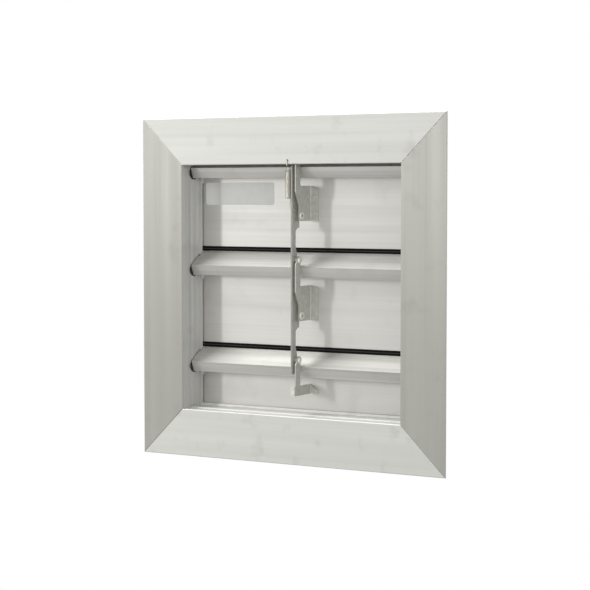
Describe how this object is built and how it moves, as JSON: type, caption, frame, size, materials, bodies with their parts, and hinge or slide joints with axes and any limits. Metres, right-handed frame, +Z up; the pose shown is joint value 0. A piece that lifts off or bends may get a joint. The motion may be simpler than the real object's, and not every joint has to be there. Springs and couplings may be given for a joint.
{
  "type": "square flanged damper",
  "caption": "Square aluminium damper with a wide mitred flange, hinged blades that swing back together on one tie bar, and a spring that pulls them shut.",
  "frame": {"origin": "centre of the opening, in the plane of the flange's back face", "axes": "+Y into the duct, +Z up, +X to the right seen from the flange side"},
  "size_m": [0.422, 0.0655, 0.422],
  "materials": {
    "frame_aluminium": "mill, extruded",
    "blade_aluminium": "mill, extruded",
    "rivet_aluminium": "plain",
    "zinc_steel": "galvanised",
    "spring_steel": "drawn wire",
    "seal_rubber": "matt",
    "bushing_nylon": "moulded"
  },
  "bodies": {
    "frame": {"frame_head": "frame_aluminium", "frame_sill": "frame_aluminium", "frame_jamb_left": "frame_aluminium", "frame_jamb_right": "frame_aluminium", "corner_angle_top_left": "frame_aluminium", "corner_angle_top_right": "frame_aluminium", "corner_angle_bottom_left": "frame_aluminium", "corner_angle_bottom_right": "frame_aluminium", "corner_rivets": "rivet_aluminium", "bushings_left": "bushing_nylon", "bushings_right": "bushing_nylon", "spring": "spring_steel"},
    "blade_top": {"blade_top": "blade_aluminium", "pivot_pins_top": "zinc_steel", "bracket_top": "zinc_steel", "bracket_rivets_top": "rivet_aluminium", "link_pin_top": "zinc_steel", "link_spacer_top": "bushing_nylon", "seal_top": "seal_rubber", "eyelet_top": "zinc_steel"},
    "blade_middle": {"blade_middle": "blade_aluminium", "pivot_pins_middle": "zinc_steel", "bracket_middle": "zinc_steel", "bracket_rivets_middle": "rivet_aluminium", "link_pin_middle": "zinc_steel", "link_spacer_middle": "bushing_nylon", "seal_middle": "seal_rubber", "eyelet_middle": "zinc_steel"},
    "blade_bottom": {"blade_bottom": "blade_aluminium", "pivot_pins_bottom": "zinc_steel", "bracket_bottom": "zinc_steel", "bracket_rivets_bottom": "rivet_aluminium", "link_pin_bottom": "zinc_steel", "link_spacer_bottom": "bushing_nylon"},
    "tie_bar": {"tie_bar": "zinc_steel"}
  },
  "joints": [
    {"name": "blade_top_swing", "type": "hinge", "parent": "frame", "child": "blade_top", "pos_m": [0, 0.022, 0.1434], "axis": [1, 0, 0], "range_deg": [0, 70], "deforming": ["spring"]},
    {"name": "blade_middle_swing", "type": "hinge", "parent": "frame", "child": "blade_middle", "pos_m": [0, 0.022, 0.022], "axis": [1, 0, 0], "range_deg": [0, 70]},
    {"name": "blade_bottom_swing", "type": "hinge", "parent": "frame", "child": "blade_bottom", "pos_m": [0, 0.022, -0.0994], "axis": [1, 0, 0], "range_deg": [0, 70]},
    {"name": "tie_bar_pivot", "type": "hinge", "parent": "blade_top", "child": "tie_bar", "pos_m": [0.0035, 0.0115, 0.1579], "axis": [1, 0, 0], "range_deg": [-70, 0]}
  ],
  "couplings": [
    {"joint": "blade_middle_swing", "follows": "blade_top_swing", "ratio": 1},
    {"joint": "blade_bottom_swing", "follows": "blade_top_swing", "ratio": 1},
    {"joint": "tie_bar_pivot", "follows": "blade_top_swing", "ratio": -1}
  ]
}
